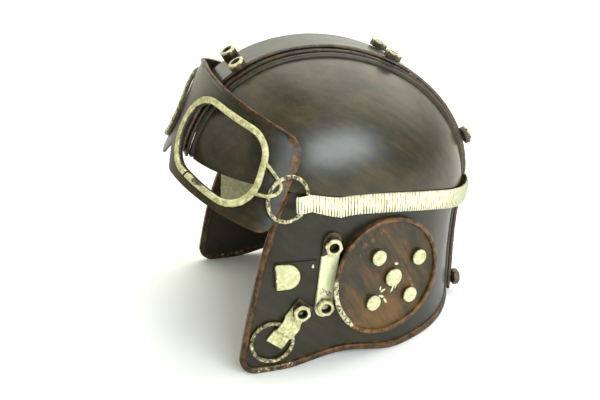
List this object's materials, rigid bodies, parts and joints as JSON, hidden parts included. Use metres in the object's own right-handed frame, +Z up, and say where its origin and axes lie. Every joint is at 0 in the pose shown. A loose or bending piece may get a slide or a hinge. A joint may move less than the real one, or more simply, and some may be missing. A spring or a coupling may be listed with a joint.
{
  "type": "flight helmet",
  "caption": "Rigid sheet-metal flight helmet with ear discs, a raised crest, strapped-on metal goggles and an open head hollow.",
  "frame": {"origin": "middle of the bounding box seen from above, at the level of the surface it rests on", "axes": "+Z up, -Y the way the wearer faces, +X the wearer's left side"},
  "size_m": [0.2266, 0.2682, 0.2478],
  "materials": {
    "dark_lacquer": "satin brown-black lacquer, rubbed copper at edges",
    "rubbed_copper": "dark lacquer rubbed through to copper",
    "pale_gold": "pale gold paint over brown metal",
    "cream_paint": "chalky cream-yellow paint",
    "webbing": "ribbed webbing painted cream, with brown specks"
  },
  "bodies": {
    "root": {"centre_band": "dark_lacquer", "crest_strip": "dark_lacquer", "goggle_mask": "dark_lacquer", "left_dome": "dark_lacquer", "right_dome": "dark_lacquer", "left_seam_bead": "dark_lacquer", "right_seam_bead": "dark_lacquer", "left_ear_panel": "dark_lacquer", "right_ear_panel": "dark_lacquer", "left_ear_disc": "rubbed_copper", "right_ear_disc": "rubbed_copper", "left_stud_centre": "cream_paint", "right_stud_centre": "cream_paint", "left_stud_back_top": "cream_paint", "right_stud_back_top": "cream_paint", "left_stud_front_top": "cream_paint", "right_stud_front_top": "cream_paint", "left_stud_front_low": "cream_paint", "right_stud_front_low": "cream_paint", "left_stud_back_low": "cream_paint", "right_stud_back_low": "cream_paint", "left_bar": "cream_paint", "right_bar": "cream_paint", "left_bar_nut_upper": "pale_gold", "right_bar_nut_upper": "pale_gold", "left_bar_nut_lower": "pale_gold", "right_bar_nut_lower": "pale_gold", "left_thin_plate": "rubbed_copper", "right_thin_plate": "rubbed_copper", "left_half_round_tab": "cream_paint", "right_half_round_tab": "cream_paint", "left_clip": "pale_gold", "right_clip": "pale_gold", "left_clip_nut": "pale_gold", "right_clip_nut": "pale_gold", "left_lower_ring": "pale_gold", "right_lower_ring": "pale_gold", "left_goggle_frame": "pale_gold", "right_goggle_frame": "pale_gold", "left_strap_ring": "pale_gold", "right_strap_ring": "pale_gold", "left_crest_nut_front": "pale_gold", "right_crest_nut_front": "pale_gold", "left_crest_nut_top_back": "pale_gold", "right_crest_nut_top_back": "pale_gold", "left_crest_nut_back": "pale_gold", "right_crest_nut_back": "pale_gold", "left_crest_nut_nape": "pale_gold", "right_crest_nut_nape": "pale_gold", "strap": "webbing"}
  },
  "joints": []
}
